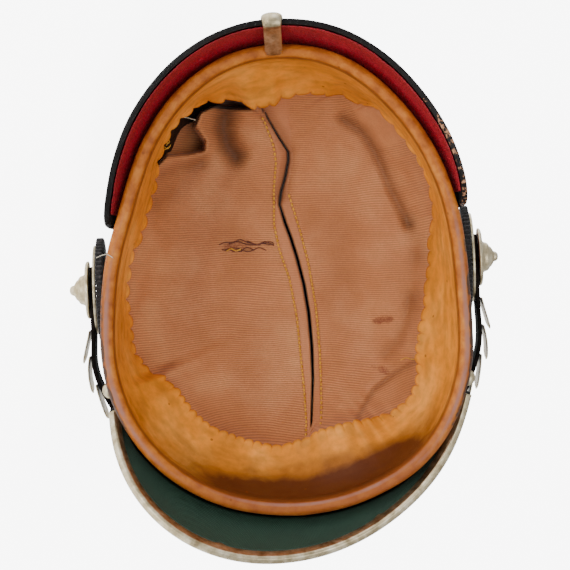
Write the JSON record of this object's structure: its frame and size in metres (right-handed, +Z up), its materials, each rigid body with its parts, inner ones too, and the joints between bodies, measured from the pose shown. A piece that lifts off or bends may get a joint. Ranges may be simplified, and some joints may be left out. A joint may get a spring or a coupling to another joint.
{
  "type": "spiked military helmet",
  "caption": "Lacquered leather spiked helmet with visors, metal fittings, scaled chin straps, leather sweatband and folded silk lining, lying on its side with the hollow open.",
  "frame": {"origin": "centre of the bounding box's bottom, on the floor that the helmet lies on", "axes": "+Z up, -Y where the open hollow faces, +Y towards the tip of the spike"},
  "size_m": [0.234, 0.2614, 0.1798],
  "materials": {
    "black_lacquered_leather": "worn gloss lacquer",
    "tan_leather": "satin, stained",
    "green_leather": "embossed, satin",
    "red_leather": "creased, satin",
    "salmon_silk": "ribbed",
    "black_wool": "crimped",
    "red_paint": "satin",
    "nickel_silver": "aged satin"
  },
  "bodies": {
    "root": {"shell": "black_lacquered_leather", "sweatband": "tan_leather", "liner_left": "salmon_silk", "liner_right": "salmon_silk", "front_visor": "black_lacquered_leather", "front_visor_lining": "green_leather", "front_visor_trim": "nickel_silver", "rear_visor": "black_lacquered_leather", "rear_visor_lining": "red_leather", "rear_spine": "nickel_silver", "spike_base": "nickel_silver", "spike_ring": "nickel_silver", "spike": "nickel_silver", "base_stud_1": "nickel_silver", "base_stud_2": "nickel_silver", "base_stud_3": "nickel_silver", "base_stud_4": "nickel_silver", "front_plate": "nickel_silver", "cockade_left": "black_wool", "cockade_ring_left": "nickel_silver", "boss_left": "nickel_silver", "side_stud_left": "nickel_silver", "strap_left": "black_lacquered_leather", "scale_left_1": "nickel_silver", "scale_left_2": "nickel_silver", "scale_left_3": "nickel_silver", "scale_left_4": "nickel_silver", "scale_left_5": "nickel_silver", "scale_left_6": "nickel_silver", "scale_left_7": "nickel_silver", "scale_left_8": "nickel_silver", "scale_left_9": "nickel_silver", "scale_left_10": "nickel_silver", "cockade_right": "black_wool", "cockade_ring_right": "nickel_silver", "red_disc_right": "red_paint", "boss_right": "nickel_silver", "side_stud_right": "nickel_silver", "strap_right": "black_lacquered_leather", "scale_right_1": "nickel_silver", "scale_right_2": "nickel_silver", "scale_right_3": "nickel_silver", "scale_right_4": "nickel_silver", "scale_right_5": "nickel_silver", "scale_right_6": "nickel_silver", "scale_right_7": "nickel_silver", "scale_right_8": "nickel_silver", "scale_right_9": "nickel_silver", "scale_right_10": "nickel_silver", "buckle": "nickel_silver"}
  },
  "joints": []
}
